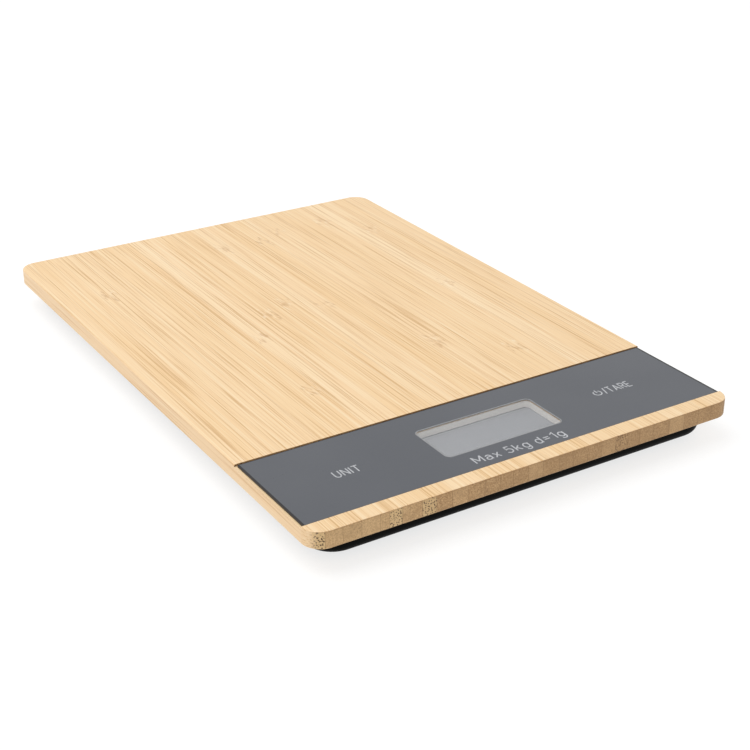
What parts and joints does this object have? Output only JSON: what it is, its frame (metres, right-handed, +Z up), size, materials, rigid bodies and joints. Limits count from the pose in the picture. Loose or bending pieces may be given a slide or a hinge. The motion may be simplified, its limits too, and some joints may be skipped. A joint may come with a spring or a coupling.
{
  "type": "kitchen scale",
  "caption": "Slim digital kitchen scale: a bamboo board with an inset touch panel and display, on a black base with load-cell feet.",
  "frame": {"origin": "on the table, under the middle of the board", "axes": "+Z up through the board; +Y to the back, along the board's length; +X to the right of a person reading the display, which is at the -Y end"},
  "size_m": [0.16, 0.236, 0.015],
  "materials": {
    "bamboo": "clear satin lacquer on edge-glued bamboo strips",
    "panel_print": "satin slate-grey printed sheet",
    "tape": "black foam tape",
    "clear_window": "clear acrylic, polished",
    "polariser": "blue-grey reflective display film",
    "lcd_glass": "clear glass",
    "reflector": "brushed reflecting film",
    "white_plastic": "moulded white plastic",
    "zebra_rubber": "striped conductive rubber",
    "circuit_board": "green solder mask",
    "chip_resin": "black moulding resin",
    "chip_ceramic": "ceramic chip bodies",
    "plated_metal": "nickel plated",
    "screw_steel": "zinc plated screws",
    "cell_steel": "nickel-plated steel can",
    "cell_plate_steel": "stamped spring steel",
    "gauge_film": "amber gauge film",
    "base_plastic": "black moulded plastic with a fine grain",
    "foot_plastic": "black moulded plastic",
    "foot_rubber": "soft dark rubber",
    "lead_white": "wire insulation",
    "lead_red": "wire insulation",
    "lead_black": "wire insulation"
  },
  "bodies": {
    "scale_body": {"bamboo_platform": "bamboo", "control_panel": "panel_print", "panel_adhesive": "tape", "display_window": "clear_window", "lcd_polariser": "polariser", "lcd_front_glass": "lcd_glass", "lcd_rear_glass": "lcd_glass", "lcd_reflector": "reflector", "lcd_holder": "white_plastic", "contact_strip_front": "zebra_rubber", "contact_strip_rear": "zebra_rubber", "main_pcb": "circuit_board", "controller_chip": "chip_resin", "amplifier_chip": "chip_resin", "quartz_crystal": "plated_metal", "chip_parts": "chip_ceramic", "pcb_screws": "screw_steel", "base_shell": "base_plastic", "base_screws": "screw_steel", "retainer_screws": "screw_steel", "coin_cell": "cell_steel", "battery_contact_negative": "plated_metal", "battery_contact_positive": "plated_metal", "battery_lead_negative": "lead_black", "battery_lead_positive": "lead_red", "touch_spring_unit": "plated_metal", "touch_spring_power": "plated_metal", "load_cell_front_left": "cell_plate_steel", "strain_gauge_front_left": "gauge_film", "cell_retainer_front_left": "base_plastic", "sensor_lead_front_left": "lead_white", "load_cell_front_right": "cell_plate_steel", "strain_gauge_front_right": "gauge_film", "cell_retainer_front_right": "base_plastic", "sensor_lead_front_right": "lead_white", "load_cell_rear_left": "cell_plate_steel", "strain_gauge_rear_left": "gauge_film", "cell_retainer_rear_left": "base_plastic", "sensor_lead_rear_left": "lead_white", "load_cell_rear_right": "cell_plate_steel", "strain_gauge_rear_right": "gauge_film", "cell_retainer_rear_right": "base_plastic", "sensor_lead_rear_right": "lead_white"},
    "battery_door": {"battery_door": "base_plastic"},
    "foot_front_left": {"foot_cup_front_left": "foot_plastic", "rubber_pad_front_left": "foot_rubber"},
    "foot_front_right": {"foot_cup_front_right": "foot_plastic", "rubber_pad_front_right": "foot_rubber"},
    "foot_rear_left": {"foot_cup_rear_left": "foot_plastic", "rubber_pad_rear_left": "foot_rubber"},
    "foot_rear_right": {"foot_cup_rear_right": "foot_plastic", "rubber_pad_rear_right": "foot_rubber"}
  },
  "joints": [
    {"name": "foot_press_front_left", "type": "slide", "parent": "scale_body", "child": "foot_front_left", "axis": [0, 0, 1], "range_m": [0, 0.0004], "stiffness_N_per_m": 4000, "springref_m": -0.00015},
    {"name": "foot_press_front_right", "type": "slide", "parent": "scale_body", "child": "foot_front_right", "axis": [0, 0, 1], "range_m": [0, 0.0004], "stiffness_N_per_m": 4000, "springref_m": -0.00015},
    {"name": "foot_press_rear_left", "type": "slide", "parent": "scale_body", "child": "foot_rear_left", "axis": [0, 0, 1], "range_m": [0, 0.0004], "stiffness_N_per_m": 4000, "springref_m": -0.00015},
    {"name": "foot_press_rear_right", "type": "slide", "parent": "scale_body", "child": "foot_rear_right", "axis": [0, 0, 1], "range_m": [0, 0.0004], "stiffness_N_per_m": 4000, "springref_m": -0.00015},
    {"name": "battery_door_hinge", "type": "hinge", "parent": "scale_body", "child": "battery_door", "pos_m": [0, -0.0307, 0.0029], "axis": [1, 0, 0], "range_deg": [0, 90]}
  ]
}
